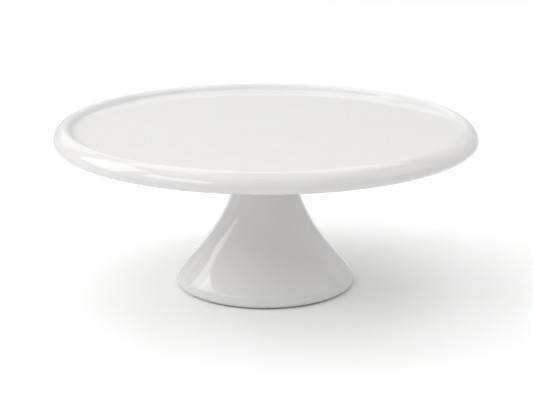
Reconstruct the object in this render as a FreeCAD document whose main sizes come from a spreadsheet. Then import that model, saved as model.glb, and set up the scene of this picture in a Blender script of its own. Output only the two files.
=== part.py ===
import FreeCAD, Part
import math
import os
import re

import Sketcher

# A two-piece pedestal cake stand in glazed ceramic. A round plate with a rolled rim sits on a hollow trumpet
# foot. A hand screw, reached from under the foot, pulls a brass bush in the plate down onto the foot.
# The origin is on the table, on the axis of the foot. +Z is up. Sizes are in millimetres.

SIZES = [
    ("plate_radius", 150.0, "axis to the widest line of the rim"),
    ("plate_thickness", 8.55, "underside of the plate to its floor"),
    ("rim_rise", 4.75, "floor of the plate to the top of the rim"),
    ("rim_drop", 1.5, "underside of the plate to the lowest line of the rim"),
    ("crown_width", 4.4, "flat top of the rim before it is rounded"),
    ("outer_slope_run", 4.8, "crown to the widest line, sideways"),
    ("outer_slope_fall", 7.4, "crown to the widest line, downwards"),
    ("nose_rise", 3.2, "lowest line of the rim to its widest line"),
    ("belly_run", 5.0, "widest line to the lowest line, sideways"),
    ("belly_width", 6.0, "flat of the lowest line before it is rounded"),
    ("under_run", 6.0, "lowest line to the underside of the plate, sideways"),
    ("shoulder_run", 3.7, "crown to the inner wall of the rim, sideways"),
    ("shoulder_fall", 1.1, "crown to the inner wall of the rim, downwards"),
    ("wall_run", 2.1, "inner wall of the rim, sideways"),
    ("crown_round", 5.5, "outer edge of the crown"),
    ("nose_round", 4.4, "both edges of the widest line"),
    ("belly_round", 7.5, "outer edge of the lowest line"),
    ("under_round", 6.0, "edges between the rim and the underside"),
    ("crown_inner_round", 9.0, "inner edge of the crown"),
    ("shoulder_round", 2.8, "edge above the inner wall"),
    ("cove_round", 3.6, "inner wall into the floor"),
    ("boss_radius", 33.0, "seat under the plate"),
    ("boss_height", 4.0, "seat to the underside of the plate"),
    ("boss_round", 3.0, "seat boss into the underside"),
    ("spigot_wall", 7.5, "clay round the brass bush"),
    ("spigot_length", 6.2, "seat to the end of the spigot"),
    ("spigot_clearance", 0.5, "spigot in its socket, all round"),
    ("pedestal_height", 100.0, "table to the top face of the pedestal"),
    ("foot_radius", 61.5, "axis to the outer edge of the flat that carries the pads"),
    ("foot_flat", 8.5, "width of that flat"),
    ("foot_nose", 3.0, "radius of the rounded edge of the foot"),
    ("foot_nose_turn", 28.0, "how far the rounded edge turns past its widest line, degrees"),
    ("foot_inner_rise", 9.2, "straight inner side of the foot"),
    ("shoulder_inset", 4.8, "outer edge of the flat to the top of the foot's shoulder, sideways"),
    ("shoulder_height", 16.0, "table to the top of the foot's shoulder"),
    ("foot_shoulder", 58.0, "radius of the shoulder above the rounded edge"),
    ("flare_lean", 41.0, "lean of the flare at its foot, degrees from upright"),
    ("flare_foot_pull", 8.0, "how far the curve follows that lean"),
    ("flare_neck_pull", 37.5, "how far the curve follows the upright neck"),
    ("neck_radius", 21.3, "narrowest line of the pedestal"),
    ("neck_flare", 9.5, "radius that opens the neck into the top flange"),
    ("flange_thickness", 2.5, "edge of the top flange"),
    ("flange_round", 1.0, "upper edge of the top flange"),
    ("wall_at_neck", 5.5, "pedestal wall at the neck"),
    ("wall_at_foot", 7.8, "pedestal wall at the foot, sideways"),
    ("socket_depth", 6.0, "top face to the deck"),
    ("deck_thickness", 8.0, "deck that the screw pulls on"),
    ("pad_radius", 3.5, "foot pad"),
    ("pad_thickness", 0.8, "foot pad"),
    ("gasket_thickness", 1.2, "ring between pedestal and plate"),
    ("gasket_gap", 1.0, "ring to the socket and to the flange's edge"),
    ("screw_radius", 4.0, "shank"),
    ("screw_length", 35.0, "under the head to the tip"),
    ("screw_chamfer", 0.8, "tip"),
    ("head_width", 13.0, "across the flats of the hexagon head"),
    ("head_height", 5.3, "hexagon head"),
    ("thread_fit", 0.05, "shank in the bush, all round"),
    ("bush_wall", 2.8, "brass bush"),
    ("bush_length", 12.0, "brass bush"),
    ("glue_gap", 0.2, "bush in the spigot, all round"),
    ("hole_clearance", 1.0, "shank in the deck and the cushion washer, all round"),
    ("washer_clearance", 0.3, "shank in the steel washer, all round"),
    ("washer_radius", 8.0, "steel washer"),
    ("washer_thickness", 1.6, "steel washer"),
    ("cushion_radius", 10.0, "cushion washer"),
    ("cushion_thickness", 2.0, "cushion washer"),
    ("knob_clearance", 3.8, "grip of the knob to the inside of the neck"),
    ("knob_length", 26.0, "hand knob"),
    ("knob_web", 12.0, "top face of the knob to the screw's head"),
    ("knob_fit", 0.1, "screw in the knob and cap in the knob, all round"),
    ("collar_step", 3.0, "grip to the collar under the washer"),
    ("collar_height", 3.0, "collar under the washer"),
    ("knob_round", 1.0, "edges of the grip"),
    ("flute_radius", 3.0, "finger flute"),
    ("flute_depth", 1.4, "finger flute"),
    ("cap_margin", 2.5, "edge of the knob to its cap"),
    ("cap_thickness", 2.0, "cap that closes the knob"),
]
FLUTES = 8
PADS = 4

# Levels and radii that several pieces share, each written once.
DERIVED = {
    "seat_level": "(pedestal_height + gasket_thickness)",
    "under_level": "(pedestal_height + gasket_thickness + boss_height)",
    "rim_bottom": "(pedestal_height + gasket_thickness + boss_height - rim_drop)",
    "floor_level": "(pedestal_height + gasket_thickness + boss_height + plate_thickness)",
    "rim_top": "(pedestal_height + gasket_thickness + boss_height + plate_thickness + rim_rise)",
    "bush_level": "(pedestal_height + gasket_thickness - spigot_length)",
    "bush_radius": "(screw_radius + thread_fit + bush_wall)",
    "spigot_radius": "(screw_radius + thread_fit + bush_wall + glue_gap + spigot_wall)",
    "socket_radius": "(screw_radius + thread_fit + bush_wall + glue_gap + spigot_wall + spigot_clearance)",
    "flange_radius": "(neck_radius + neck_flare)",
    "deck_top": "(pedestal_height - socket_depth)",
    "deck_bottom": "(pedestal_height - socket_depth - deck_thickness)",
    "neck_level": "(pedestal_height - flange_thickness - neck_flare)",
    "washer_level": "(pedestal_height - socket_depth - deck_thickness - cushion_thickness - washer_thickness)",
    "head_level": "(pedestal_height - socket_depth - deck_thickness - cushion_thickness"
                  " - washer_thickness - knob_web)",
    "knob_level": "(pedestal_height - socket_depth - deck_thickness - cushion_thickness"
                  " - washer_thickness - knob_length)",
    "grip_radius": "(neck_radius - wall_at_neck - knob_clearance)",
}

doc = FreeCAD.newDocument("cake_stand")
sheet = doc.addObject("Spreadsheet::Sheet", "Sizes")
for row, (alias, value, note) in enumerate(SIZES, start=1):
    sheet.set(f"A{row}", note)
    sheet.set(f"B{row}", str(value))
    sheet.setAlias(f"B{row}", alias)
doc.recompute()
ALIASES = {alias for alias, _, _ in SIZES}


def bound(text):
    """The expression with its shared levels written out and each size looked up in the sheet."""
    whole = re.sub(r"[a-z_]+", lambda m: DERIVED.get(m.group(), m.group()), text)
    return re.sub(r"[a-z_]+", lambda m: "Sizes." + m.group() if m.group() in ALIASES else m.group(), whole)


def number(text):
    """The expression's value in plain millimetres."""
    return float(sheet.evalExpression(bound(text)))


def plane_of(body, role):
    return next(f for f in body.Origin.OriginFeatures if f.Role == role)


def new_body(label):
    body = doc.addObject("PartDesign::Body", label)
    body.Label = label
    return body


def new_sketch(body, name, role="XZ_Plane", level=None):
    """A sketch on one of the body's own planes, lifted to a level where one is given."""
    sketch = body.newObject("Sketcher::SketchObject", name)
    sketch.AttachmentSupport = (plane_of(body, role), [""])
    sketch.MapMode = "FlatFace"
    if level:
        sketch.setExpression("AttachmentOffset.Base.z", bound(level))
    return sketch


def pin(sketch, edge, end, across, up):
    """Holds one end of an edge at a place given by two expressions."""
    for kind, text, axis in (("DistanceX", across, -2), ("DistanceY", up, -1)):
        if text == "0":
            sketch.addConstraint(Sketcher.Constraint("PointOnObject", edge, end, axis))
            continue
        index = sketch.addConstraint(Sketcher.Constraint(kind, -1, 1, edge, end, number(text)))
        sketch.setExpression(f"Constraints[{index}]", bound(text))


def arc_between(start, stop, radius, side):
    """An arc from start to stop. side is +1 when it turns left on its way and -1 when it turns right."""
    chord = stop - start
    half = chord.Length / 2
    left = FreeCAD.Vector(-chord.y, chord.x, 0).normalize()
    centre = (start + stop) / 2 + left * (side * math.sqrt(max(radius**2 - half**2, 0.0)))
    first, last = (start, stop) if side > 0 else (stop, start)
    angles = [math.atan2(p.y - centre.y, p.x - centre.x) for p in (first, last)]
    return Part.ArcOfCircle(Part.Circle(centre, FreeCAD.Vector(0, 0, 1), radius), angles[0], angles[1])


def outline(sketch, corners, curves=None):
    """A closed outline through the corners. curves says which edges aren't straight: an edge's number gives
    ("arc", radius, side) or ("flare", first handle, second handle), with handles as places."""
    curves = curves or {}
    places = [FreeCAD.Vector(number(a), number(u), 0) for a, u in corners]
    edges = []
    for i, start in enumerate(places):
        stop = places[(i + 1) % len(places)]
        curve = curves.get(i)
        if curve is None:
            edges.append((sketch.addGeometry(Part.LineSegment(start, stop), False), 1, 2))
        elif curve[0] == "arc":
            edge = sketch.addGeometry(arc_between(start, stop, number(curve[1]), curve[2]), False)
            edges.append((edge, 1, 2) if curve[2] > 0 else (edge, 2, 1))
            index = sketch.addConstraint(Sketcher.Constraint("Radius", edge, number(curve[1])))
            sketch.setExpression(f"Constraints[{index}]", bound(curve[1]))
        else:
            handles = [FreeCAD.Vector(number(a), number(u), 0) for a, u in curve[1:]]
            spline = Part.BSplineCurve()
            spline.buildFromPolesMultsKnots([start, *handles, stop], [4, 4], [0.0, 1.0], False, 3)
            edge = sketch.addGeometry(spline, False)
            edges.append((edge, 1, 2))
            for pole, place in enumerate(handles, start=1):
                handle = sketch.addGeometry(Part.Circle(place, FreeCAD.Vector(0, 0, 1), 1.0), True)
                sketch.addConstraint(
                    Sketcher.Constraint("InternalAlignment:Sketcher::BSplineControlPoint", handle, 3, edge, pole)
                )
                pin(sketch, handle, 3, *curve[pole])
    for i, (edge, begin, _) in enumerate(edges):
        before, _, end = edges[i - 1]
        sketch.addConstraint(Sketcher.Constraint("Coincident", before, end, edge, begin))
        pin(sketch, edge, begin, *corners[i])


def turned(label, corners, curves=None):
    """A body made by turning an outline (radius, height) once round the axis."""
    body = new_body(label)
    sketch = new_sketch(body, f"{label}_outline")
    outline(sketch, corners, curves)
    turn = body.newObject("PartDesign::Revolution", f"{label}_turn")
    turn.Profile = sketch
    turn.ReferenceAxis = (sketch, ["V_Axis"])
    turn.Angle = 360.0
    sketch.Visibility = False
    doc.recompute()
    return body


def ring_edges(shape, rings):
    """Names of the round edges about the axis at each (radius, height)."""
    names = []
    for radius, height in rings:
        for i, edge in enumerate(shape.Edges, start=1):
            if not isinstance(edge.Curve, Part.Circle):
                continue
            off = max(abs(edge.Curve.Radius - number(radius)), abs(edge.Curve.Center.z - number(height)))
            if off < 0.01 and math.hypot(edge.Curve.Center.x, edge.Curve.Center.y) < 0.01:
                names.append(f"Edge{i}")
    if len(names) != len(rings):
        raise RuntimeError(f"found {len(names)} of the {len(rings)} edges to round")
    return names


def round_off(body, name, radius, rings):
    """Rounds the ring edges that the body has at each (radius, height)."""
    base = body.Tip
    fillet = body.newObject("PartDesign::Fillet", name)
    fillet.Base = (base, ring_edges(base.Shape, rings))
    fillet.setExpression("Radius", bound(radius))
    doc.recompute()


def cut(body, name, sketch, length, upwards=False, through=False):
    """Cuts a sketch into the body and makes sure that material went."""
    before = body.Shape.Volume
    pocket = body.newObject("PartDesign::Pocket", name)
    pocket.Profile = sketch
    pocket.Reversed = upwards
    if through:
        pocket.Type = 1
        pocket.Midplane = True
    else:
        pocket.setExpression("Length", bound(length))
    sketch.Visibility = False
    doc.recompute()
    if body.Shape.Volume > before - 1.0:
        raise RuntimeError(f"{name} cuts nothing")
    return pocket


def ring(label, inner, outer, bottom, top):
    """A flat ring about the axis."""
    return turned(label, [(inner, bottom), (outer, bottom), (outer, top), (inner, top)])


def hexagon(sketch, width):
    """A hexagon about the origin with its flats a given width apart."""
    corner = f"({width}) / 2 / cos(30 deg)"
    outline(sketch, [(f"{corner} * cos({60 * i + 30} deg)" if i % 3 != 1 else "0",
                      f"{corner} * sin({60 * i + 30} deg)") for i in range(6)])


def circle(sketch, radius, across="0"):
    """A circle on the sketch's own X axis."""
    edge = sketch.addGeometry(Part.Circle(FreeCAD.Vector(number(across), 0, 0), FreeCAD.Vector(0, 0, 1),
                                          number(radius)), False)
    index = sketch.addConstraint(Sketcher.Constraint("Radius", edge, number(radius)))
    sketch.setExpression(f"Constraints[{index}]", bound(radius))
    pin(sketch, edge, 3, across, "0")


def build_plate():
    """A flat plate with a rolled rim. Below it a seat boss and a spigot, bored from below for the bush."""
    wall_top = "rim_top - shoulder_fall"
    crown_outer = "plate_radius - outer_slope_run"
    crown_inner = f"{crown_outer} - crown_width"
    wall_outer = f"{crown_inner} - shoulder_run"
    wall_inner = f"{wall_outer} - wall_run"
    slope_end = "rim_top - outer_slope_fall"
    nose_end = "rim_bottom + nose_rise"
    belly_outer = "plate_radius - belly_run"
    belly_inner = f"{belly_outer} - belly_width"
    under_outer = f"{belly_inner} - under_run"
    hole = "bush_radius + glue_gap"
    body = turned("plate", [
        ("0", "floor_level"),
        (wall_inner, "floor_level"),
        (wall_outer, wall_top),
        (crown_inner, "rim_top"),
        (crown_outer, "rim_top"),
        ("plate_radius", slope_end),
        ("plate_radius", nose_end),
        (belly_outer, "rim_bottom"),
        (belly_inner, "rim_bottom"),
        (under_outer, "under_level"),
        ("boss_radius", "under_level"),
        ("boss_radius", "seat_level"),
        ("spigot_radius", "seat_level"),
        ("spigot_radius", "bush_level"),
        (hole, "bush_level"),
        (hole, "bush_level + bush_length"),
        ("0", "bush_level + bush_length"),
    ])
    round_off(body, "crown_edge", "crown_round", [(crown_outer, "rim_top")])
    round_off(body, "nose_edges", "nose_round", [("plate_radius", slope_end)])
    round_off(body, "belly_edge", "belly_round", [(belly_outer, "rim_bottom")])
    round_off(body, "under_edges", "under_round", [(belly_inner, "rim_bottom"), (under_outer, "under_level")])
    round_off(body, "crown_inner_edge", "crown_inner_round", [(crown_inner, "rim_top")])
    round_off(body, "shoulder_edge", "shoulder_round", [(wall_outer, wall_top)])
    round_off(body, "cove", "cove_round", [(wall_inner, "floor_level")])
    round_off(body, "boss_edge", "boss_round", [("boss_radius", "under_level")])
    return body


def build_pedestal():
    """A hollow trumpet: a rounded foot, a flare that runs up into the neck, a flange and an inner deck."""
    nose_across = "foot_radius + foot_nose * cos(foot_nose_turn * 1 deg)"
    nose_up = "pad_thickness + foot_nose + foot_nose * sin(foot_nose_turn * 1 deg)"
    flare_foot = "foot_radius - shoulder_inset"
    inner_foot = "foot_radius - shoulder_inset - wall_at_foot"
    inner_neck = "neck_radius - wall_at_neck"
    lean_across = "flare_foot_pull * sin(flare_lean * 1 deg)"
    lean_up = "flare_foot_pull * cos(flare_lean * 1 deg)"
    hole = "screw_radius + hole_clearance"
    body = turned("pedestal", [
        ("foot_radius - foot_flat", "pad_thickness"),
        ("foot_radius", "pad_thickness"),
        (nose_across, nose_up),
        (flare_foot, "shoulder_height"),
        ("neck_radius", "neck_level"),
        ("flange_radius", "neck_level + neck_flare"),
        ("flange_radius", "pedestal_height"),
        ("socket_radius", "pedestal_height"),
        ("socket_radius", "deck_top"),
        (hole, "deck_top"),
        (hole, "deck_bottom"),
        (inner_neck, "deck_bottom"),
        (inner_foot, "shoulder_height"),
        ("foot_radius - foot_flat", "pad_thickness + foot_inner_rise"),
    ], {
        1: ("arc", "foot_nose", 1),
        2: ("arc", "foot_shoulder", 1),
        3: ("flare", (f"{flare_foot} - {lean_across}", f"shoulder_height + {lean_up}"),
            ("neck_radius", "neck_level - flare_neck_pull")),
        4: ("arc", "neck_flare", -1),
        11: ("flare", (inner_neck, "deck_bottom - flare_neck_pull"),
             (f"{inner_foot} - {lean_across}", f"shoulder_height + {lean_up}")),
    })
    round_off(body, "flange_edge", "flange_round", [("flange_radius", "pedestal_height")])
    return body


def build_foot_pads():
    """Soft discs under the foot, evenly spaced on the middle of its flat."""
    pads = []
    for i in range(PADS):
        turn = 360 / PADS * (i + 0.5)
        pad = doc.addObject("Part::Cylinder", f"pad_{i + 1}")
        pad.setExpression("Radius", bound("pad_radius"))
        pad.setExpression("Height", bound("pad_thickness"))
        pad.setExpression("Placement.Base.x", bound(f"(foot_radius - foot_flat / 2) * cos({turn} deg)"))
        pad.setExpression("Placement.Base.y", bound(f"(foot_radius - foot_flat / 2) * sin({turn} deg)"))
        pads.append(pad)
    group = doc.addObject("Part::Compound", "foot_pads")
    group.Label = "foot_pads"
    group.Links = pads
    return group


def build_screw():
    """A hexagon-head screw, head down, with its thread's outside as a plain shank."""
    body = new_body("centre_screw")
    head_sketch = new_sketch(body, "head_outline", "XY_Plane", "head_level - head_height")
    hexagon(head_sketch, "head_width")
    head = body.newObject("PartDesign::Pad", "head")
    head.Profile = head_sketch
    head.setExpression("Length", bound("head_height"))
    shank_sketch = new_sketch(body, "shank_outline", "XY_Plane", "head_level")
    circle(shank_sketch, "screw_radius")
    shank = body.newObject("PartDesign::Pad", "shank")
    shank.Profile = shank_sketch
    shank.setExpression("Length", bound("screw_length"))
    doc.recompute()
    tip = body.newObject("PartDesign::Chamfer", "tip")
    tip.Base = (shank, ring_edges(shank.Shape, [("screw_radius", "head_level + screw_length")]))
    tip.setExpression("Size", bound("screw_chamfer"))
    head_sketch.Visibility = False
    shank_sketch.Visibility = False
    doc.recompute()
    return body


def build_knob():
    """A fluted grip moulded round the screw, with a hexagon pocket for its head and a recess for the cap."""
    bore = "screw_radius + knob_fit"
    collar = "grip_radius - collar_step"
    collar_level = "washer_level - collar_height"
    cap_seat = "knob_level + cap_thickness"
    recess = "grip_radius - cap_margin"
    body = turned("screw_knob", [
        (bore, "washer_level"),
        (bore, cap_seat),
        (recess, cap_seat),
        (recess, "knob_level"),
        ("grip_radius", "knob_level"),
        ("grip_radius", collar_level),
        (collar, collar_level),
        (collar, "washer_level"),
    ])
    round_off(body, "grip_edges", "knob_round", [("grip_radius", "knob_level"), ("grip_radius", collar_level)])
    pocket_sketch = new_sketch(body, "head_pocket_outline", "XY_Plane", cap_seat)
    hexagon(pocket_sketch, "head_width + 2 * knob_fit")
    cut(body, "head_pocket", pocket_sketch, f"head_level - ({cap_seat})", upwards=True)
    flute_sketch = new_sketch(body, "flute_outline", "XY_Plane", "knob_level")
    circle(flute_sketch, "flute_radius", "grip_radius + flute_radius - flute_depth")
    flute = cut(body, "flute", flute_sketch, f"{collar_level} - knob_level", upwards=True)
    pattern = body.newObject("PartDesign::PolarPattern", "flutes")
    pattern.Originals = [flute]
    pattern.Axis = (flute_sketch, ["N_Axis"])
    pattern.Angle = 360.0
    pattern.Occurrences = FLUTES
    body.Tip = pattern
    doc.recompute()
    return body


def build_all():
    recess = "grip_radius - cap_margin"
    bore = "screw_radius + thread_fit"
    shank_hole = "screw_radius + hole_clearance"
    return [
        build_plate(),
        ring("plate_bush", bore, "bush_radius", "bush_level", "bush_level + bush_length"),
        ring("neck_gasket", "socket_radius + gasket_gap", "flange_radius - gasket_gap",
             "pedestal_height", "seat_level"),
        build_pedestal(),
        build_foot_pads(),
        ring("cushion_washer", shank_hole, "cushion_radius", "washer_level + washer_thickness", "deck_bottom"),
        ring("steel_washer", "screw_radius + washer_clearance", "washer_radius",
             "washer_level", "washer_level + washer_thickness"),
        build_screw(),
        build_knob(),
        turned("knob_cap", [("0", "knob_level"), (f"{recess} - knob_fit", "knob_level"),
                            (f"{recess} - knob_fit", "knob_level + cap_thickness"),
                            ("0", "knob_level + cap_thickness")]),
    ]


def check_and_write(parts):
    """Stops at anything that failed, then writes one file for each sub-part."""
    doc.recompute()
    for item in doc.Objects:
        if "Invalid" in item.State or "Error" in item.State:
            raise RuntimeError(f"{item.Name} failed: {item.State}")
    os.makedirs("parts", exist_ok=True)
    for part in parts:
        if part.Shape.isNull() or not part.Shape.isValid():
            raise RuntimeError(f"{part.Label} has no valid shape")
        part.Shape.exportStep(f"parts/{part.Label}.step")
        box = part.Shape.BoundBox
        print(f"{part.Label}: {len(part.Shape.Solids)} solids, {part.Shape.Volume / 1000:.2f} cm3,"
              f" z {box.ZMin:.2f} to {box.ZMax:.2f}, radius {box.XMax:.2f}")


check_and_write(build_all())
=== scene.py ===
# %% [markdown]
# # A glazed cake stand as turned surfaces
# The stand is two pieces of white glazed ceramic, a plate with a rolled rim and a hollow trumpet foot, held
# together by a hand screw that is reached from below. A potter makes both on a wheel or from a turned
# mould, so nearly every piece here is a profile carried once round an axis. Modelling such a piece from a
# cylinder with loops and bevels works too, but a profile worked out with numpy stays exactly round, and its
# curvature is ours to choose. That matters most on a glossy glaze, where a reflection shows every flat
# spot.
#
# The first step loads the fixed frame: the measured bodies that every surface must sit on. Units are
# metres.

import math

import bpy
import numpy as np
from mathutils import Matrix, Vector


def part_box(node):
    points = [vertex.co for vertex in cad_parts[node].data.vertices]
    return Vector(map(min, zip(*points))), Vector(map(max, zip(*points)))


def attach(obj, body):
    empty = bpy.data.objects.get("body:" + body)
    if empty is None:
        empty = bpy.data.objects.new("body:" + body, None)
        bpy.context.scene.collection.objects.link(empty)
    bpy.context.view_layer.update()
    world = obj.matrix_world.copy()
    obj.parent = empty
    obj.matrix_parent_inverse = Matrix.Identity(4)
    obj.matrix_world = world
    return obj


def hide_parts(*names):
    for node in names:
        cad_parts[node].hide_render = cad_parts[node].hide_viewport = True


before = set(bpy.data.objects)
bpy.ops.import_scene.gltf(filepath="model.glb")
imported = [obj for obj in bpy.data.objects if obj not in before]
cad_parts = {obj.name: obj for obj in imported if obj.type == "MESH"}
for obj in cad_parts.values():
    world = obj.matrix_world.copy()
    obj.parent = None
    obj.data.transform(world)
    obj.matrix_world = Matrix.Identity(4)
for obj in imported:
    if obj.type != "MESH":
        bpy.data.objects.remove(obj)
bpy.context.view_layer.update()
MM = 0.001
print("frame pieces:", ", ".join(sorted(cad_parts)))

# %% [markdown]
# ## Places that come from the frame
# A new piece has to fit the piece that it stands for, so its main radii and levels are read from the
# frame's boxes and not typed again. Only the shape between those limits is described below.

# %% Read radii and levels


def levels(node):
    """Outer radius, lowest and highest level of a turned piece, from its box."""
    low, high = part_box(node)
    return max(high.x, high.y), low.z, high.z


plate_radius, spigot_end, rim_top = levels("plate")
_, foot_level, flange_top = levels("pedestal")
gasket_radius, _, seat_level = levels("neck_gasket")
bush_radius, bush_level, bush_top = levels("plate_bush")
cushion_radius, cushion_level, deck_level = levels("cushion_washer")
washer_radius, washer_level, washer_top = levels("steel_washer")
_, head_bottom, screw_tip = levels("centre_screw")
_, knob_level, knob_top = levels("screw_knob")
cap_radius, _, cap_top = levels("knob_cap")
print(f"plate radius {plate_radius:.4f}, rim top {rim_top:.4f}")
print(f"seat {seat_level:.4f}, neck top {flange_top:.4f}")

# %% [markdown]
# ## Drawing a profile
# A potter's profile is a line with soft corners. It could be a Bezier curve object with handles set by
# hand. Here it is a list of corners with a radius at each: the two sides are cut short by radius x tan(half
# the turn), and an arc joins them. Where the profile is one long sweep, such as the flare of the foot, a
# cubic curve with two handles takes the place of the corners.

# %% Profile helpers


def corner_arc(before, corner, after, radius, steps=24):
    """The arc that rounds a corner. It touches both sides at radius x tan(turn / 2) from the corner."""
    before, corner, after = (np.array(p, float) for p in (before, corner, after))
    into = (before - corner) / np.linalg.norm(before - corner)
    out = (after - corner) / np.linalg.norm(after - corner)
    turn = math.pi - math.acos(np.clip(into @ out, -1, 1))
    if radius <= 0 or turn < 1e-6:
        return corner[None]
    reach = radius * math.tan(turn / 2)
    middle = into + out
    centre = corner + middle / np.linalg.norm(middle) * math.hypot(radius, reach)
    first, last = corner + into * reach - centre, corner + out * reach - centre
    along = np.linspace(0, 1, steps)[:, None]
    return centre + (np.sin((1 - along) * turn) * first + np.sin(along * turn) * last) / math.sin(turn)


def soft_line(corners, closed=False):
    """A line through (radius, height, rounding) corners, every corner an arc. Lengths are in metres."""
    places = [np.array(c[:2], float) for c in corners]
    pieces = []
    for i, (place, corner) in enumerate(zip(places, corners)):
        end = not closed and i in (0, len(corners) - 1)
        if end:
            pieces.append(place[None])
        else:
            pieces.append(corner_arc(places[i - 1], place, places[(i + 1) % len(places)], corner[2]))
    if closed:
        pieces.append(pieces[0][:1])
    return np.concatenate(pieces)


def sweep(start, first_handle, second_handle, stop, steps=400):
    """A cubic curve: each point is a blend of four places, with weights from the powers of t and 1 - t."""
    t = np.linspace(0, 1, steps)[:, None]
    start, first, second, stop = (np.array(p, float) for p in (start, first_handle, second_handle, stop))
    return (1 - t) ** 3 * start + 3 * (1 - t) ** 2 * t * first + 3 * (1 - t) * t**2 * second + t**3 * stop


def even_steps(line, step=0.05 * MM):
    """The same line with points at equal distances along it."""
    keep = np.r_[True, np.linalg.norm(np.diff(line, axis=0), axis=1) > 1e-9]
    line = line[keep]
    run = np.r_[0, np.cumsum(np.linalg.norm(np.diff(line, axis=0), axis=1))]
    at = np.linspace(0, run[-1], int(run[-1] / step) + 2)
    return np.stack([np.interp(at, run, line[:, k]) for k in (0, 1)], axis=1)


def melt(line, reach, closed=False):
    """Glaze runs before it sets, which takes the sudden changes of curvature out of a profile: each point
    becomes a bell-weighted average of its neighbours within about 2 x reach."""
    step = np.linalg.norm(line[1] - line[0])
    half = max(1, int(3 * reach / step))
    bell = np.exp(-0.5 * (np.arange(-half, half + 1) * step / reach) ** 2)
    bell /= bell.sum()
    if closed:
        padded = np.concatenate([line[-half - 1:-1], line, line[1:half + 1]])
    else:
        padded = np.concatenate([2 * line[:1] - line[half:0:-1], line, 2 * line[-1:] - line[-2:-half - 2:-1]])
    return np.stack([np.convolve(padded[:, k], bell, "valid") for k in (0, 1)], axis=1)


def chosen_rows(line, count, longest=6 * MM, turn_share=math.radians(5)):
    """Places along the profile for the mesh's rings, as fractions of its length. Rings gather where the
    profile turns: each ring uses up the same sum of length / longest and turn / turn_share."""
    run = np.linalg.norm(np.diff(line, axis=0), axis=1)
    heading = np.unwrap(np.arctan2(*np.diff(line, axis=0).T[::-1]))
    bend = np.abs(np.r_[0, np.diff(heading)])
    effort = np.r_[0, np.cumsum(run / longest + bend / turn_share)]
    share = np.r_[0, np.cumsum(run)] / run.sum()
    return np.interp(np.linspace(0, effort[-1], count), effort, share)


print("profile helpers ready")

# %% [markdown]
# ## Turning a profile into a mesh
# A Screw modifier would turn a profile too. A numpy grid does more: the shape is a function of two numbers,
# how far along the profile and the angle round the axis, so a thread, a knurl or a slight hand-made wobble
# is one more term in the same formula. Shading normals are worked out from the same function, so a long
# flat face beside a tight curve reflects as cleanly as on the real glaze.

# %% Mesh helpers


def put_mesh(name, points, faces, normals=None):
    """Makes a mesh object from whole arrays. Each row of faces holds four corner numbers, and one of them is
    repeated where the face is a triangle."""
    mesh = bpy.data.meshes.new(name)
    mesh.from_pydata(points.tolist(), [], [tuple(dict.fromkeys(f)) for f in faces.tolist()])
    mesh.polygons.foreach_set("use_smooth", np.ones(len(mesh.polygons), bool))
    mesh.update()
    if normals is not None:
        mesh.normals_split_custom_set_from_vertices(normals.tolist())
    piece = bpy.data.objects.new(name, mesh)
    bpy.context.scene.collection.objects.link(piece)
    return piece


def turned_arrays(line, rings, around, shape=None, closed=False, longest=6 * MM, centre=(0.0, 0.0)):
    """A surface of revolution: point(s, a) = (r cos a, r sin a, z), with r and z read from the profile at s.
    shape(r, z, a) may change r and z, for a thread, flats or a wobble. An end on the axis becomes a pole."""
    share = np.linspace(0, 1, len(line))
    s = chosen_rows(line, rings, longest)
    if closed:
        s = s[:-1]

    def surface(s_grid, a_grid):
        s_in = s_grid % 1.0 if closed else np.clip(s_grid, 0, 1)
        r, z = np.interp(s_in, share, line[:, 0]), np.interp(s_in, share, line[:, 1])
        if shape is not None:
            r, z = shape(r, z, a_grid)
        return np.stack([centre[0] + r * np.cos(a_grid), centre[1] + r * np.sin(a_grid), z], axis=-1)

    a = np.linspace(0, 2 * math.pi, around, endpoint=False)
    s_grid, a_grid = np.meshgrid(s, a, indexing="ij")
    points = surface(s_grid, a_grid)
    ds, da = 1.5 / len(line), 1e-3
    along = surface(s_grid + ds, a_grid) - surface(s_grid - ds, a_grid)
    across = surface(s_grid, a_grid + da) - surface(s_grid, a_grid - da)
    normals = np.cross(across, along)
    start_pole, end_pole = (not closed and line[k, 0] < 1e-7 for k in (0, -1))
    if start_pole:
        normals[0] = (0, 0, 1 if normals[1, :, 2].mean() > 0 else -1)
    if end_pole:
        normals[-1] = (0, 0, 1 if normals[-2, :, 2].mean() > 0 else -1)
    normals /= np.maximum(np.linalg.norm(normals, axis=-1, keepdims=True), 1e-12)
    count = len(s)
    number = np.arange(count * around).reshape(count, around)
    if start_pole:
        number[0] = number[0, 0]
    if end_pole:
        number[-1] = number[-1, 0]
    rows = np.arange(count if closed else count - 1)
    below, above = number[rows], number[(rows + 1) % count]
    faces = np.stack([below, np.roll(below, -1, 1), np.roll(above, -1, 1), above], axis=-1).reshape(-1, 4)
    used, compact = np.unique(faces, return_inverse=True)
    return points.reshape(-1, 3)[used], compact.reshape(-1, 4), normals.reshape(-1, 3)[used]


def turned(name, line, rings, around, **more):
    """One turned surface as a piece of its own."""
    points, faces, normals = turned_arrays(line, rings, around, **more)
    print(f"{name}: {len(points)} points, {len(faces)} faces, radius {np.hypot(*points[:, :2].T).max():.4f}")
    return put_mesh(name, points, faces, normals)


def stands_for(piece, body, node):
    """Makes a piece move with a body and hides the frame piece that it stands for."""
    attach(piece, body)
    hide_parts(node)


print("mesh helpers ready")

# %% [markdown]
# ## The plate
# The plate is a flat disc with a rolled rim. The rim's section isn't a circle: from its crest it falls away
# in a flattened quarter oval to its widest line, tucks under in a second, tighter one, and on its inside it
# drops to the floor through a small cove where the glaze pools. The ovals have a power below two, which
# draws them a little towards a straight slope. Soft corners describe the rest. A spigot under the middle
# centres the plate in the neck and holds the brass bush.
#
# No fired plate is perfectly true. The rim rises and falls by a fifth of a millimetre as it goes round,
# which is enough to make its highlights waver a little.

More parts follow.
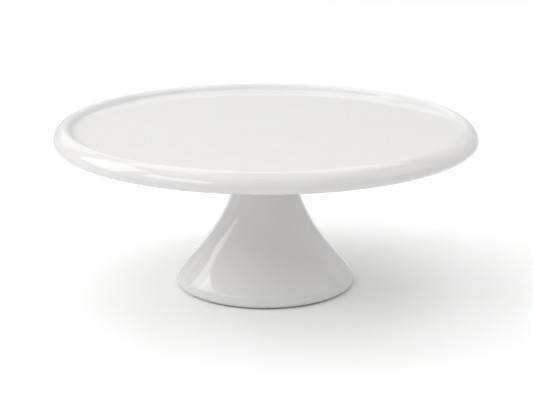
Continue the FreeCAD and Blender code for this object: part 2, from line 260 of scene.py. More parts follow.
# %% Make the plate
FLOOR_DROP, WALL_RUN, SHOULDER_RUN, SHOULDER_FALL = (v * MM for v in (4.75, 2.3, 2.1, 1.6))
CREST_INSET, CREST_RUN, WIDEST_DROP, BELLY_DROP = (v * MM for v in (9.2, 1.4, 10.1, 14.8))
BELLY_RUN, BELLY_WIDTH, UNDER_RUN, UNDER_RISE = (v * MM for v in (9.5, 1.5, 6.0, 1.5))
OUTER_POWER, UNDER_POWER = 1.6, 1.85
BOSS_RADIUS, GLUE_GAP, SPIGOT_WALL = (v * MM for v in (33.0, 0.2, 7.5))
SOFT = dict(cove=3.2, shoulder=5.0, inner=4.2, under=6.0, boss=3.0, edge=0.5)


def quarter_oval(across, up, power, steps=160):
    """A quarter of a superellipse, from (0, up) to (across, 0): the two shares, each raised to the power, add
    up to one. A power of two is a plain quarter of an ellipse."""
    turn = np.linspace(0, math.pi / 2, steps)
    return np.stack([across * np.sin(turn) ** (2 / power), up * np.cos(turn) ** (2 / power)], axis=1)


floor_level = rim_top - FLOOR_DROP
crest = plate_radius - CREST_INSET
wall_outer = crest - CREST_RUN - SHOULDER_RUN
wall_inner = wall_outer - WALL_RUN
widest_level, belly_level = rim_top - WIDEST_DROP, rim_top - BELLY_DROP
belly_outer = plate_radius - BELLY_RUN
under_level = belly_level + UNDER_RISE
hole_radius = bush_radius + GLUE_GAP
spigot_radius = hole_radius + SPIGOT_WALL
soft = {name: value * MM for name, value in SOFT.items()}

rim_inside = soft_line([
    (0, floor_level, 0),
    (wall_inner, floor_level, soft["cove"]),
    (wall_outer, rim_top - SHOULDER_FALL, soft["shoulder"]),
    (crest - CREST_RUN, rim_top, soft["inner"]),
    (crest, rim_top, 0),
])
rim_outside = quarter_oval(CREST_INSET, WIDEST_DROP, OUTER_POWER) + (crest, widest_level)
rim_under = quarter_oval(BELLY_RUN, BELLY_DROP - WIDEST_DROP, UNDER_POWER)[::-1] * (1, -1)
rim_under += (belly_outer, widest_level)
underside = soft_line([
    (belly_outer, belly_level, 0),
    (belly_outer - BELLY_WIDTH, belly_level, soft["under"]),
    (belly_outer - BELLY_WIDTH - UNDER_RUN, under_level, soft["under"]),
    (BOSS_RADIUS, under_level, soft["boss"]),
    (BOSS_RADIUS, seat_level, soft["edge"]),
    (spigot_radius, seat_level, soft["edge"]),
    (spigot_radius, spigot_end, soft["edge"]),
    (hole_radius, spigot_end, soft["edge"]),
    (hole_radius, bush_top, soft["edge"] / 2),
    (0, bush_top, 0),
])
plate_line = melt(even_steps(np.concatenate([rim_inside, rim_outside, rim_under, underside])), 0.5 * MM)
plate_line[[0, -1], 0] = 0.0
RIM_WARP, SHORT_WARP, RIM_OVAL, SHORT_OVAL = 0.10 * MM, 0.5, 0.08 * MM, 0.4


def fired_plate(r, z, a):
    """Adds a warp that grows with the square of the radius: a long and a short wave in height, and the same
    in radius. Each is lowered by its greatest rise, so that the plate never grows past its true size."""
    grow = (r / plate_radius) ** 2 * np.clip((r - BOSS_RADIUS) / BOSS_RADIUS, 0, 1)
    lift = RIM_WARP * (np.cos(2 * a + 0.7) + SHORT_WARP * np.cos(5 * a + 2.1))
    oval = RIM_OVAL * (np.cos(2 * a + 1.9) + SHORT_OVAL * np.cos(3 * a))
    return r + (oval - (1 + SHORT_OVAL) * RIM_OVAL) * grow, z + (lift - (1 + SHORT_WARP) * RIM_WARP) * grow


plate = turned("glazed_plate", plate_line, rings=190, around=480, shape=fired_plate)
stands_for(plate, "top", "plate")

# %% [markdown]
# ## The pedestal
# The foot flares like a trumpet bell: upright at the neck, leaning 41 degrees at the bottom. The lean runs
# on straight to a soft fold, and from there a narrow lip drops to a rounded edge that lifts the foot off
# the table. The bell is one cubic curve with a handle along the neck and a handle along the lean. The
# inside follows it at the thickness of the clay, up to the deck that the screw pulls on. The profile closes
# on itself, because the piece is hollow and open below.

# %% Make the pedestal
FOOT_FLAT_OUTER, FOOT_FLAT, FOOT_NOSE = 61.5 * MM, 8.5 * MM, 3.0 * MM
LIP_LEAN, FOLD_ROUND, GLAZE_MELT = math.radians(12), 4.5 * MM, 0.35 * MM
SHOULDER_INSET, SHOULDER_HEIGHT, SHOULDER_TURN = 4.8 * MM, 16 * MM, math.radians(41)
NECK_RADIUS, NECK_FLARE, FLANGE_THICKNESS, FLANGE_ROUND = 21.3 * MM, 9.5 * MM, 2.5 * MM, 1.0 * MM
FOOT_PULL, NECK_PULL = 8.0 * MM, 37.5 * MM
WALL_AT_NECK, WALL_AT_FOOT, INNER_RISE = 5.5 * MM, 7.8 * MM, 9.2 * MM
INNER_FOLD_ROUND, INNER_EDGE_ROUND = 4.0 * MM, 1.2 * MM
SOCKET_CLEARANCE, SOCKET_DEPTH, SHANK_HOLE = 0.5 * MM, 6.0 * MM, 5.0 * MM


def arc(centre, radius, first, last, steps=60):
    """Part of a circle between two angles, in radians from straight out."""
    angle = np.linspace(first, last, steps)
    return np.stack([centre[0] + radius * np.cos(angle), centre[1] + radius * np.sin(angle)], axis=1)


neck_level = flange_top - FLANGE_THICKNESS - NECK_FLARE
flange_radius = NECK_RADIUS + NECK_FLARE
flare_foot = (FOOT_FLAT_OUTER - SHOULDER_INSET, SHOULDER_HEIGHT)
lean = np.array([-math.sin(SHOULDER_TURN), math.cos(SHOULDER_TURN)]) * FOOT_PULL
nose_centre = (FOOT_FLAT_OUTER, foot_level + FOOT_NOSE)
inner_neck = (NECK_RADIUS - WALL_AT_NECK, deck_level)
inner_foot = (flare_foot[0] - WALL_AT_FOOT, SHOULDER_HEIGHT)
socket_radius = spigot_radius + SOCKET_CLEARANCE

foot_nose = arc(nose_centre, FOOT_NOSE, -math.pi / 2, LIP_LEAN)
nose_end = foot_nose[-1]
lip_slope, cone_slope = math.tan(LIP_LEAN), math.tan(SHOULDER_TURN)
fold_level = ((flare_foot[0] + flare_foot[1] * cone_slope - nose_end[0] - nose_end[1] * lip_slope)
              / (cone_slope - lip_slope))
fold_radius = flare_foot[0] + (flare_foot[1] - fold_level) * cone_slope
shoulder = soft_line([(*nose_end, 0), (fold_radius, fold_level, FOLD_ROUND), (*flare_foot, 0)])
print(f"lip folds at radius {fold_radius:.4f}, {fold_level - foot_level:.4f} above the foot's own edge")
flare = sweep(flare_foot, flare_foot + lean, (NECK_RADIUS, neck_level - NECK_PULL), (NECK_RADIUS, neck_level))
neck_curve = arc((flange_radius, neck_level), NECK_FLARE, math.pi, math.pi / 2)
top_line = soft_line([
    (flange_radius, flange_top - FLANGE_THICKNESS, 0),
    (flange_radius, flange_top, FLANGE_ROUND),
    (socket_radius, flange_top, soft["edge"]),
    (socket_radius, flange_top - SOCKET_DEPTH, soft["edge"]),
    (SHANK_HOLE, flange_top - SOCKET_DEPTH, soft["edge"]),
    (SHANK_HOLE, deck_level, soft["edge"]),
    (inner_neck[0], deck_level, 0),
])
hollow = sweep(inner_neck, (inner_neck[0], deck_level - NECK_PULL), inner_foot + lean, inner_foot)
under_foot = soft_line([
    (inner_foot[0], inner_foot[1], 0),
    (FOOT_FLAT_OUTER - FOOT_FLAT, foot_level + INNER_RISE, INNER_FOLD_ROUND),
    (FOOT_FLAT_OUTER - FOOT_FLAT, foot_level, INNER_EDGE_ROUND),
    (FOOT_FLAT_OUTER, foot_level, 0),
])
stretches = [foot_nose] + [part[1:] for part in (shoulder, flare, neck_curve, top_line, hollow, under_foot)]
pedestal_line = np.concatenate(stretches)
pedestal_line = melt(even_steps(pedestal_line), GLAZE_MELT, closed=True)
FOOT_WOBBLE, SHORT_WOBBLE = 0.06 * MM, 0.6


def fired_pedestal(r, z, a):
    """Adds a long and a short wave to the radius. They fade out towards the neck and towards the table."""
    fade = np.clip(z / SHOULDER_HEIGHT, 0, 1) * np.clip((neck_level - z) / neck_level, 0, 1)
    return r + FOOT_WOBBLE * fade * (np.cos(2 * a + 0.3) + SHORT_WOBBLE * np.cos(3 * a + 1.2)), z


pedestal = turned("glazed_pedestal", pedestal_line, rings=230, around=360, shape=fired_pedestal, closed=True)
stands_for(pedestal, "foot", "pedestal")

# %% [markdown]
# ## The neck gasket and the rubber feet
# A ring of clear silicone lies between the neck and the plate, so that glaze never bears on glaze. Three
# shallow grooves let it squash evenly. Under the foot sit four clear bumpers, each a low dome with a flat
# back. The four bumpers share one mesh, because they are one bought set: the same turned arrays, moved to
# four centres.

# %% Make the gasket and the bumpers
GASKET_HOLE, GASKET_EDGE, GROOVES, GROOVE_DEPTH = 16.05 * MM, 0.4 * MM, 3, 0.12 * MM


def grooved(r, z, a):
    """Lowers the top face in three cosine grooves across its width, and leaves the other faces alone."""
    across = (r - GASKET_HOLE) / (gasket_radius - GASKET_HOLE)
    on_top = np.clip((z - flange_top) / (seat_level - flange_top) * 4 - 3, 0, 1)
    inside = np.clip(np.minimum(across, 1 - across) * 8 - 0.5, 0, 1)
    return r, z - GROOVE_DEPTH * on_top * inside * (0.5 - 0.5 * np.cos(2 * math.pi * GROOVES * across))


gasket_line = even_steps(soft_line([
    (gasket_radius, flange_top, GASKET_EDGE),
    (gasket_radius, seat_level, GASKET_EDGE),
    (GASKET_HOLE, seat_level, GASKET_EDGE),
    (GASKET_HOLE, flange_top, GASKET_EDGE),
], closed=True), 0.02 * MM)
gasket = turned("neck_gasket_ring", gasket_line, rings=110, around=240, shape=grooved, closed=True,
                longest=0.4 * MM)
stands_for(gasket, "foot", "neck_gasket")

BUMPER_RADIUS, BUMPER_CIRCLE, BUMPER_CROWN = 3.5 * MM, 57.25 * MM, 0.25 * MM
bumper_line = even_steps(soft_line([
    (0, 0, 0),
    (BUMPER_RADIUS * 0.55, 0, 1.2 * MM),
    (BUMPER_RADIUS - 0.15 * MM, BUMPER_CROWN, 0.3 * MM),
    (BUMPER_RADIUS, foot_level, 0.08 * MM),
    (0, foot_level, 0),
]), 0.02 * MM)
bearings = [math.radians(45 + 90 * k) for k in range(4)]
centres = [(BUMPER_CIRCLE * math.cos(b), BUMPER_CIRCLE * math.sin(b)) for b in bearings]
discs = [turned_arrays(bumper_line, rings=26, around=48, centre=centre) for centre in centres]
count = len(discs[0][0])
pads = put_mesh("clear_bumpers", np.concatenate([d[0] for d in discs]),
                np.concatenate([d[1] + k * count for k, d in enumerate(discs)]),
                np.concatenate([d[2] for d in discs]))
print(f"clear_bumpers: four discs of {count} points")
stands_for(pads, "foot", "foot_pads")

# %% [markdown]
# ## The screw, its bush and the washers
# The plate is pulled down by one M8 screw. A thread could be a curve wound into a helix and swept. Here it
# is a term in the turned surface: the radius dips wherever height / pitch - turns is near a half, so the
# groove climbs one pitch for every turn. The dip fades out near the tip and under the head, as a cut thread
# does. The hexagon of the head is the smaller of the turned radius and the distance to the nearest flat,
# which also gives the curved bright chamfers that a real bolt head has.

# %% Make the screw
PITCH, THREAD_DEPTH, THREAD_POWER, SHANK_RADIUS = 1.25 * MM, 0.62 * MM, 0.7, 3.98 * MM
HEAD_FLATS, HEAD_TOP, THREAD_START, RUN_OUT, TIP_CLEAR = 13.0 * MM, 70.4 * MM, 72.5 * MM, 1.6 * MM, 0.4 * MM


def hexagon_radius(a, flats):
    """Distance from the axis to a hexagon with that much between its flats, in the direction a."""
    return flats / 2 / np.cos((a + math.pi / 6) % (math.pi / 3) - math.pi / 6)


def helix(z, a):
    """A groove that climbs one pitch a turn: 0 at a crest, 1 at a root. A raised cosine to a power below one
    gives it a V with narrow crests."""
    return (0.5 - 0.5 * np.cos(2 * math.pi * (z / PITCH - a / (2 * math.pi)))) ** THREAD_POWER


def threaded(r, z, a):
    """Cuts the helix into the shank and the flats into the head. The cut fades in above the head and out at
    the tip."""
    fade_in = np.clip((z - THREAD_START) / RUN_OUT, 0, 1)
    fade_out = np.clip((screw_tip - TIP_CLEAR - z) / RUN_OUT + 0.5, 0, 1)
    on_shank = (r > SHANK_RADIUS * 0.75) & (z > HEAD_TOP)
    shank = r - THREAD_DEPTH * fade_in * fade_out * helix(z, a)
    return np.where(on_shank, shank, np.minimum(r, hexagon_radius(a, HEAD_FLATS))), z


CORNER_RADIUS = HEAD_FLATS / 2 / math.cos(math.pi / 6)
screw_line = even_steps(soft_line([
    (0, head_bottom, 0),
    (HEAD_FLATS / 2 - 0.2 * MM, head_bottom, 0.3 * MM),
    (CORNER_RADIUS, head_bottom + 0.7 * MM, 0.1 * MM),
    (CORNER_RADIUS, HEAD_TOP - 0.5 * MM, 0.1 * MM),
    (HEAD_FLATS / 2, HEAD_TOP, 0.1 * MM),
    (SHANK_RADIUS, HEAD_TOP, 0.25 * MM),
    (SHANK_RADIUS, screw_tip - 0.9 * MM, 0.1 * MM),
    (SHANK_RADIUS - 0.8 * MM, screw_tip, 0.15 * MM),
    (0, screw_tip, 0),
]), 0.02 * MM)
screw = turned("hand_screw_bolt", screw_line, rings=520, around=120, shape=threaded, longest=0.11 * MM)
stands_for(screw, "hand_screw", "centre_screw")

# %% [markdown]
# The brass bush is glued into the spigot. Its outside has rings and fine straight knurls that the glue
# grips, and its bore is tapped for the screw, so both are again terms added to a radius.

# %% Make the bush
BORE, BUSH_EDGE, TAP_DEPTH, KNURLS, KNURL_DEPTH = 4.06 * MM, 0.4 * MM, 0.5 * MM, 60, 0.10 * MM
RING_SPACING, RING_DEPTH = 3.0 * MM, 0.25 * MM


def knurled(r, z, a):
    """Outside: 60 cosine knurls, and a ring groove every 3 mm. Bore: a thread groove cut outwards."""
    clear = np.clip((z - bush_level - BUSH_EDGE) / MM, 0, 1) * np.clip((bush_top - BUSH_EDGE - z) / MM, 0, 1)
    knurl = KNURL_DEPTH * (0.5 - 0.5 * np.cos(KNURLS * a))
    ring = RING_DEPTH * np.clip(np.cos(2 * math.pi * (z - bush_level) / RING_SPACING) * 3 - 2, 0, 1)
    thread = TAP_DEPTH * helix(z, a)
    outside = r > (BORE + bush_radius) / 2
    return r + clear * np.where(outside, -knurl - ring, thread * (r < BORE + 0.1 * MM)), z


bush_line = even_steps(soft_line([
    (bush_radius, bush_level, BUSH_EDGE),
    (bush_radius, bush_top, BUSH_EDGE),
    (BORE, bush_top, BUSH_EDGE),
    (BORE, bush_level, BUSH_EDGE),
], closed=True), 0.02 * MM)
bush = turned("brass_bush", bush_line, rings=300, around=480, shape=knurled, closed=True, longest=0.12 * MM)
stands_for(bush, "top", "plate_bush")

# %% [markdown]
# A soft washer and a steel washer share out the pull of the knob under the deck. A stamped washer isn't a
# plain ring: the punch rolls one edge over and leaves the other one sharp, so the roundings differ.

# %% Make the washers
CUSHION_HOLE, WASHER_HOLE = 5.0 * MM, 4.3 * MM
cushion_line = even_steps(soft_line([
    (cushion_radius, cushion_level, 0.7 * MM),
    (cushion_radius, deck_level, 0.7 * MM),
    (CUSHION_HOLE, deck_level, 0.5 * MM),
    (CUSHION_HOLE, cushion_level, 0.5 * MM),
], closed=True), 0.02 * MM)
cushion = turned("cushion_ring", cushion_line, rings=60, around=120, closed=True, longest=MM)
stands_for(cushion, "washers", "cushion_washer")
washer_line = even_steps(soft_line([
    (washer_radius, washer_level, 0.45 * MM),
    (washer_radius, washer_top, 0.12 * MM),
    (WASHER_HOLE, washer_top, 0.25 * MM),
    (WASHER_HOLE, washer_level, 0.12 * MM),
], closed=True), 0.02 * MM)
washer = turned("steel_ring", washer_line, rings=60, around=120, closed=True, longest=MM)
stands_for(washer, "washers", "steel_washer")

# %% [markdown]
# ## The hand knob
# The knob is a moulded plastic barrel with eight finger flutes. Each flute is a soft valley: the radius
# loses the depth of the valley times a cosine that repeats eight times round, raised to a power so that the
# ribs stay broad. The valleys fade out towards both ends of the grip. A round cap snaps into the bottom and
# hides the bolt head.

# %% Make the knob
GRIP_RADIUS, COLLAR_RADIUS, COLLAR_HEIGHT, GRIP_ROUND = 12.0 * MM, 9.0 * MM, 3.0 * MM, 1.6 * MM
FLUTES, FLUTE_DEPTH, FLUTE_FADE, RIB_POWER = 8, 1.35 * MM, 2.2 * MM, 1.6
POCKET_SLACK, SHANK_BORE = 0.10 * MM, 4.2 * MM
cap_seat = cap_radius + 0.1 * MM
grip_top = knob_top - COLLAR_HEIGHT


def fluted(r, z, a):
    """Presses eight valleys into the grip and the hexagon pocket into the inside."""
    gate = np.clip((z - knob_level) / FLUTE_FADE, 0, 1) * np.clip((grip_top - z) / FLUTE_FADE, 0, 1)
    gate = gate * gate * (3 - 2 * gate) * np.clip((r - COLLAR_RADIUS) / (2 * MM), 0, 1)
    valley = (0.5 + 0.5 * np.cos(FLUTES * a)) ** RIB_POWER
    pocket = (r < cap_seat - MM) & (z < HEAD_TOP + 0.3 * MM) & (z > cap_top)
    hexed = np.minimum(r, hexagon_radius(a, HEAD_FLATS + 2 * POCKET_SLACK))
    return np.where(pocket, hexed, r - FLUTE_DEPTH * gate * valley), z


knob_line = even_steps(soft_line([
    (GRIP_RADIUS, knob_level, GRIP_ROUND),
    (GRIP_RADIUS, grip_top, GRIP_ROUND),
    (COLLAR_RADIUS, grip_top, 0.6 * MM),
    (COLLAR_RADIUS, knob_top, 0.5 * MM),
    (SHANK_BORE, knob_top, 0.3 * MM),
    (SHANK_BORE, HEAD_TOP, 0.1 * MM),
    (CORNER_RADIUS + 0.2 * MM, HEAD_TOP, 0.1 * MM),
    (CORNER_RADIUS + 0.2 * MM, cap_top, 0.1 * MM),
    (cap_seat, cap_top, 0.1 * MM),
    (cap_seat, knob_level, 0.3 * MM),
], closed=True), 0.03 * MM)
knob = turned("fluted_knob", knob_line, rings=220, around=288, shape=fluted, closed=True, longest=0.8 * MM)
stands_for(knob, "hand_screw", "screw_knob")

CAP_DISH, CAP_RING = 0.35 * MM, 6.2 * MM
cap_line = melt(even_steps(soft_line([
    (0, knob_level + CAP_DISH, 0),
    (CAP_RING - MM, knob_level + CAP_DISH, 0.8 * MM),
    (CAP_RING, knob_level, 0.5 * MM),
    (cap_radius - 0.5 * MM, knob_level + 0.05 * MM, 0.3 * MM),
    (cap_radius, knob_level + 0.5 * MM, 0.2 * MM),
    (cap_radius, cap_top, 0.2 * MM),
    (0, cap_top, 0),
]), 0.03 * MM), 0.08 * MM)
cap_line[[0, -1], 0] = 0.0
cap = turned("knob_cap_disc", cap_line, rings=60, around=160, longest=MM)
stands_for(cap, "hand_screw", "knob_cap")

# %% [markdown]
# ## Mixing finishes
# A finish is a small network of nodes. A few short helpers keep each network readable: one adds a node, one
# makes a noise of a given grain size, and one turns a measure into a mask with soft ends. Patterns read
# Object coordinates, which are metres here, so a grain size can be given in millimetres and stays true on
# every piece.

# %% Finish helpers


class Finish:
    """A material and the nodes being added to it. values set sockets, by name with _ for a space, or by
    number as i0, i1 and so on. A socket that is given another node's output is joined to it."""

    def __init__(self, name):
        self.material = bpy.data.materials.new(name)
        self.material.use_nodes = True
        self.tree = self.material.node_tree
        self.shader = self.tree.nodes["Principled BSDF"]
        self.place = self.add("ShaderNodeTexCoord").outputs["Object"]

    def add(self, kind, settings=None, **values):
        node = self.tree.nodes.new(kind)
        for key, value in (settings or {}).items():
            setattr(node, key, value)
        self.set(node, values)
        return node

    def set(self, node, values):
        for key, value in values.items():
            numbered = key[0] == "i" and key[1:].isdigit()
            socket = node.inputs[int(key[1:]) if numbered else key.replace("_", " ")]
            if isinstance(value, bpy.types.NodeSocket):
                self.tree.links.new(value, socket)
            else:
                socket.default_value = value

    def look(self, **values):
        """Sets the shader's own sockets."""
        self.set(self.shader, values)

    def noise(self, size, detail=2.0, roughness=0.5, place=None):
        """Noise whose patches are about size across."""
        node = self.add("ShaderNodeTexNoise", Vector=place or self.place, Scale=1 / size, Detail=detail,
                        Roughness=roughness)
        return node.outputs["Fac"]

    def mask(self, value, start, stop, low=0.0, high=1.0):
        """low before start, high after stop, and a soft S between them."""
        node = self.add("ShaderNodeMapRange", {"interpolation_type": "SMOOTHSTEP"},
                        Value=value, i1=start, i2=stop, i3=low, i4=high)
        return node.outputs["Result"]

    def sum(self, a, b, operation="ADD"):
        """Two measures added, or joined by another operation."""
        return self.add("ShaderNodeMath", {"operation": operation}, i0=a, i1=b).outputs["Value"]

    def blend(self, share, first, second):
        """Mixes two colours."""
        node = self.add("ShaderNodeMix", {"data_type": "RGBA"}, i0=share)
        self.set(node, {"i6": first, "i7": second})
        return node.outputs[2]

    def bump(self, height, distance, below=None):
        """Raises the surface by distance where height is 1."""
        node = self.add("ShaderNodeBump", Height=height, Distance=distance)
        if below is not None:
            self.tree.links.new(below, node.inputs["Normal"])
        return node.outputs["Normal"]

    def radius_and_height(self):
        """Distance from the stand's axis, and height above the table."""
        flat = self.add("ShaderNodeVectorMath", {"operation": "MULTIPLY"}, i0=self.place, i1=(1, 1, 0))
        radius = self.add("ShaderNodeVectorMath", {"operation": "LENGTH"}, i0=flat.outputs["Vector"])
        height = self.add("ShaderNodeSeparateXYZ", Vector=self.place)
        return radius.outputs["Value"], height.outputs["Z"]


def coat(piece, finish):
    piece.data.materials.clear()
    piece.data.materials.append(finish.material)


print("finish helpers ready")

# %% [markdown]
# ## White glaze
# The glaze is a layer of white glass, so it is one smooth shader with the reflection of glass. What makes
# it look fired and not like plastic is small: its white drifts by a percent from place to place, it lies a
# little thicker and cooler in the coves and thinner and warmer over the crowns, its surface has a long
# faint swell and a fine orange peel, and here and there a pinhole or a speck of iron shows. The cooler and
# slightly darker colour in the coves, under the rim and at the top of the neck is partly that thick glaze
# and partly painted shade. A scanned sample of glaze could be mapped on, but it would stretch over the
# flare. Noise that reads the place in millimetres doesn't stretch.

# %% Mix the glaze
GLAZE_WHITE, GLAZE_WARM = (0.712, 0.705, 0.695, 1), (0.698, 0.682, 0.655, 1)
# Thick glaze and painted shade share one cool, slightly darker colour.
GLAZE_POOL_AND_SHADE, SPECK_BROWN = (0.672, 0.680, 0.682, 1), (0.36, 0.29, 0.22, 1)
GLAZE_INDEX, DRIFT, POOL_AND_SHADE_SHARE, THIN_SHARE = 1.5, 22 * MM, 0.55, 0.40
SPECK_CELL, SPECK_SHARE, SPECK_PIT = 14 * MM, 0.55, 0.02 * MM
SWELL, SWELL_HEIGHT, PEEL, PEEL_HEIGHT = 30 * MM, 0.045 * MM, 3.5 * MM, 0.0022 * MM
FINE_PEEL, FINE_PEEL_HEIGHT = 0.9 * MM, 0.00035 * MM


def glaze(name, pooled_and_shaded, thin):
    """White glaze. Its two mask makers take (finish, radius, height): the first gives thick glaze and painted
    shade, the second thin glaze.
    """
    finish = Finish(name)
    radius, height = finish.radius_and_height()
    drift = finish.noise(DRIFT, detail=3.0)
    colour = finish.blend(finish.mask(drift, 0.35, 0.70, 0.0, 0.35), GLAZE_WHITE, GLAZE_WARM)
    # Cooler and slightly darker where the glaze is thick and where shade is painted: coves, under the rim,
    # top of the neck.
    thick_and_shaded_share = finish.sum(pooled_and_shaded(finish, radius, height), POOL_AND_SHADE_SHARE, "MULTIPLY")
    thin_share = finish.sum(thin(finish, radius, height), THIN_SHARE, "MULTIPLY")
    colour = finish.blend(thin_share, finish.blend(thick_and_shaded_share, colour, GLAZE_POOL_AND_SHADE), GLAZE_WARM)
    cells = finish.add("ShaderNodeTexVoronoi", Vector=finish.place, Scale=1 / SPECK_CELL)
    speck = finish.mask(cells.outputs["Distance"], 0.010, 0.022, 1.0, 0.0)
    chosen = finish.add("ShaderNodeSeparateColor", Color=cells.outputs["Color"])
    speck = finish.sum(speck, finish.mask(chosen.outputs["Red"], 0.93, 0.94), "MULTIPLY")
    colour = finish.blend(finish.sum(speck, SPECK_SHARE, "MULTIPLY"), colour, SPECK_BROWN)
    polish = finish.mask(finish.noise(9 * MM, detail=4.0), 0.30, 0.75, 0.045, 0.085)
    normal = finish.bump(finish.noise(SWELL, detail=1.0), SWELL_HEIGHT)
    normal = finish.bump(finish.noise(PEEL, detail=1.0), PEEL_HEIGHT, normal)
    normal = finish.bump(finish.noise(FINE_PEEL, detail=1.0), FINE_PEEL_HEIGHT, normal)
    normal = finish.bump(finish.sum(speck, -1.0, "MULTIPLY"), SPECK_PIT, normal)
    finish.look(Base_Color=colour, Roughness=polish, IOR=GLAZE_INDEX, Normal=normal)
    return finish, radius, height, colour, polish


def plate_pool_and_shade(finish, radius, height):
    """Thick glaze and painted shade: in the cove inside the rim and under the rim's edge."""
    rising = finish.mask(radius, wall_inner - 7 * MM, wall_inner)
    falling = finish.mask(radius, wall_inner, wall_outer + MM, 1, 0)
    cove = finish.sum(rising, falling, "MULTIPLY")
    return finish.sum(cove, finish.mask(height, belly_level, belly_level + 2.5 * MM, 1, 0), "MAXIMUM")


def plate_thin(finish, radius, height):
    """Thin along the crest of the rim."""
    return finish.mask(height, rim_top - 0.6 * MM, rim_top)


glazed, *_ = glaze("plate_glaze", plate_pool_and_shade, plate_thin)
coat(plate, glazed)
print("plate glaze mixed")

# %% [markdown]
# The pedestal takes the same glaze with two differences. Its glaze runs down and gathers above the fold,
# and its foot is wiped clean so that it doesn't stick to the kiln shelf, which leaves a ring of bare clay
# underneath. As on the plate, the cooler colour of thick glaze also stands for painted shade, here in the
# fold and at the top of the neck under the plate. The wiped edge is never a true circle, so a noise shifts
# the radius and the height that it is measured by.

# %% Glaze the pedestal
BODY_CLAY, BODY_DARK, CLAY_GRIT = (0.70, 0.655, 0.575, 1), (0.56, 0.50, 0.42, 1), 0.35 * MM


def foot_pool_and_shade(finish, radius, height):
    """Thick glaze and painted shade: in the fold above the lip, and at the top of the neck under the flange.
    """
    rising = finish.mask(height, fold_level - 2 * MM, fold_level)
    falling = finish.mask(height, fold_level, fold_level + 5 * MM, 1, 0)
    fold = finish.sum(rising, falling, "MULTIPLY")
    return finish.sum(fold, finish.mask(height, neck_level + 2 * MM, flange_top - 3 * MM), "MAXIMUM")


def foot_thin(finish, radius, height):
    """Thin along the outer edge of the foot."""
    return finish.sum(finish.mask(radius, FOOT_FLAT_OUTER + 1.5 * MM, FOOT_FLAT_OUTER + 3 * MM),
                      finish.mask(height, 2.5 * MM, 5.5 * MM, 1, 0), "MULTIPLY")


footed, _, height, colour, polish = glaze("pedestal_glaze", foot_pool_and_shade, foot_thin)
ragged = footed.mask(footed.noise(6 * MM, detail=3.0), 0.3, 0.7, -0.5 * MM, 0.5 * MM)
bare = footed.mask(footed.sum(height, ragged), foot_level + 0.35 * MM, foot_level + 0.65 * MM, 1, 0)
grit = footed.noise(CLAY_GRIT, detail=3.0, roughness=0.7)
clay = footed.blend(footed.mask(grit, 0.35, 0.75), BODY_CLAY, BODY_DARK)
footed.look(Base_Color=footed.blend(bare, colour, clay),
            Roughness=footed.sum(polish, footed.sum(bare, 0.75, "MULTIPLY")))
glaze_normal = footed.shader.inputs["Normal"].links[0].from_socket
footed.look(Normal=footed.bump(footed.sum(grit, bare, "MULTIPLY"), 0.03 * MM, glaze_normal))
coat(pedestal, footed)
print("pedestal glaze mixed")

# %% [markdown]
# ## Brass, steel, silicone and plastic
# The hardware is seen only from below, but each piece still has its own finish. Turned brass keeps fine
# rings from the lathe tool and browns in its grooves. Zinc plate is a cold grey with cloudy patches of
# polish. Silicone is soft-looking because light goes a little way in. The plastics have the fine
# spark-eroded grain of a mould.

# %% Mix the metals
BRASS, BRASS_BROWN, LATHE_FEED = (0.83, 0.62, 0.30, 1), (0.48, 0.30, 0.12, 1), 0.18 * MM
ZINC, ZINC_DULL = (0.66, 0.67, 0.69, 1), (0.47, 0.47, 0.46, 1)
brass = Finish("turned_brass")
_, height = brass.radius_and_height()
tarnish = brass.noise(4 * MM, detail=4.0)
brass.look(Base_Color=brass.blend(brass.mask(tarnish, 0.45, 0.75, 0.0, 0.7), BRASS, BRASS_BROWN),
           Metallic=1.0, Roughness=brass.mask(tarnish, 0.3, 0.8, 0.20, 0.42))
phase = brass.sum(height, 2 * math.pi / LATHE_FEED, "MULTIPLY")
rings = brass.add("ShaderNodeMath", {"operation": "SINE"}, i0=phase)
turned_face = brass.bump(rings.outputs["Value"], 0.003 * MM)
brass.look(Normal=brass.bump(brass.noise(0.5 * MM), 0.004 * MM, turned_face))
coat(bush, brass)

zinc = Finish("zinc_plated_steel")
cloud = zinc.noise(2.2 * MM, detail=5.0, roughness=0.6)
zinc.look(Base_Color=zinc.blend(zinc.mask(cloud, 0.40, 0.70), ZINC, ZINC_DULL), Metallic=1.0,
          Roughness=zinc.mask(cloud, 0.3, 0.7, 0.24, 0.46),
          Normal=zinc.bump(zinc.noise(0.25 * MM, detail=3.0), 0.004 * MM))
coat(screw, zinc)
coat(washer, zinc)
print("metals mixed")

# %% Mix the silicones and the plastics
SILICONE, SILICONE_DUST, SILICONE_GLOW = (0.80, 0.80, 0.78, 1), (0.66, 0.65, 0.61, 1), 1.5 * MM
CLEAR, CLEAR_DUST = (0.90, 0.91, 0.90, 1), (0.74, 0.73, 0.70, 1)
KNOB_WHITE, KNOB_GREY = (0.70, 0.69, 0.67, 1), (0.60, 0.59, 0.56, 1)
CAP_GREY, CAP_DARK = (0.40, 0.40, 0.39, 1), (0.32, 0.32, 0.31, 1)


def rubbery(name, clean, dusty, roughness):
    """Silicone: dust in soft patches, a satin surface and light that enters a little way."""
    finish = Finish(name)
    dust = finish.noise(3 * MM, detail=5.0, roughness=0.65)
    finish.look(Base_Color=finish.blend(finish.mask(dust, 0.45, 0.80), clean, dusty), IOR=1.42,
                Roughness=finish.mask(dust, 0.3, 0.8, roughness, roughness + 0.18),
                Subsurface_Weight=0.35, Subsurface_Scale=SILICONE_GLOW,
                Normal=finish.bump(finish.noise(0.3 * MM, detail=3.0), 0.004 * MM))
    return finish


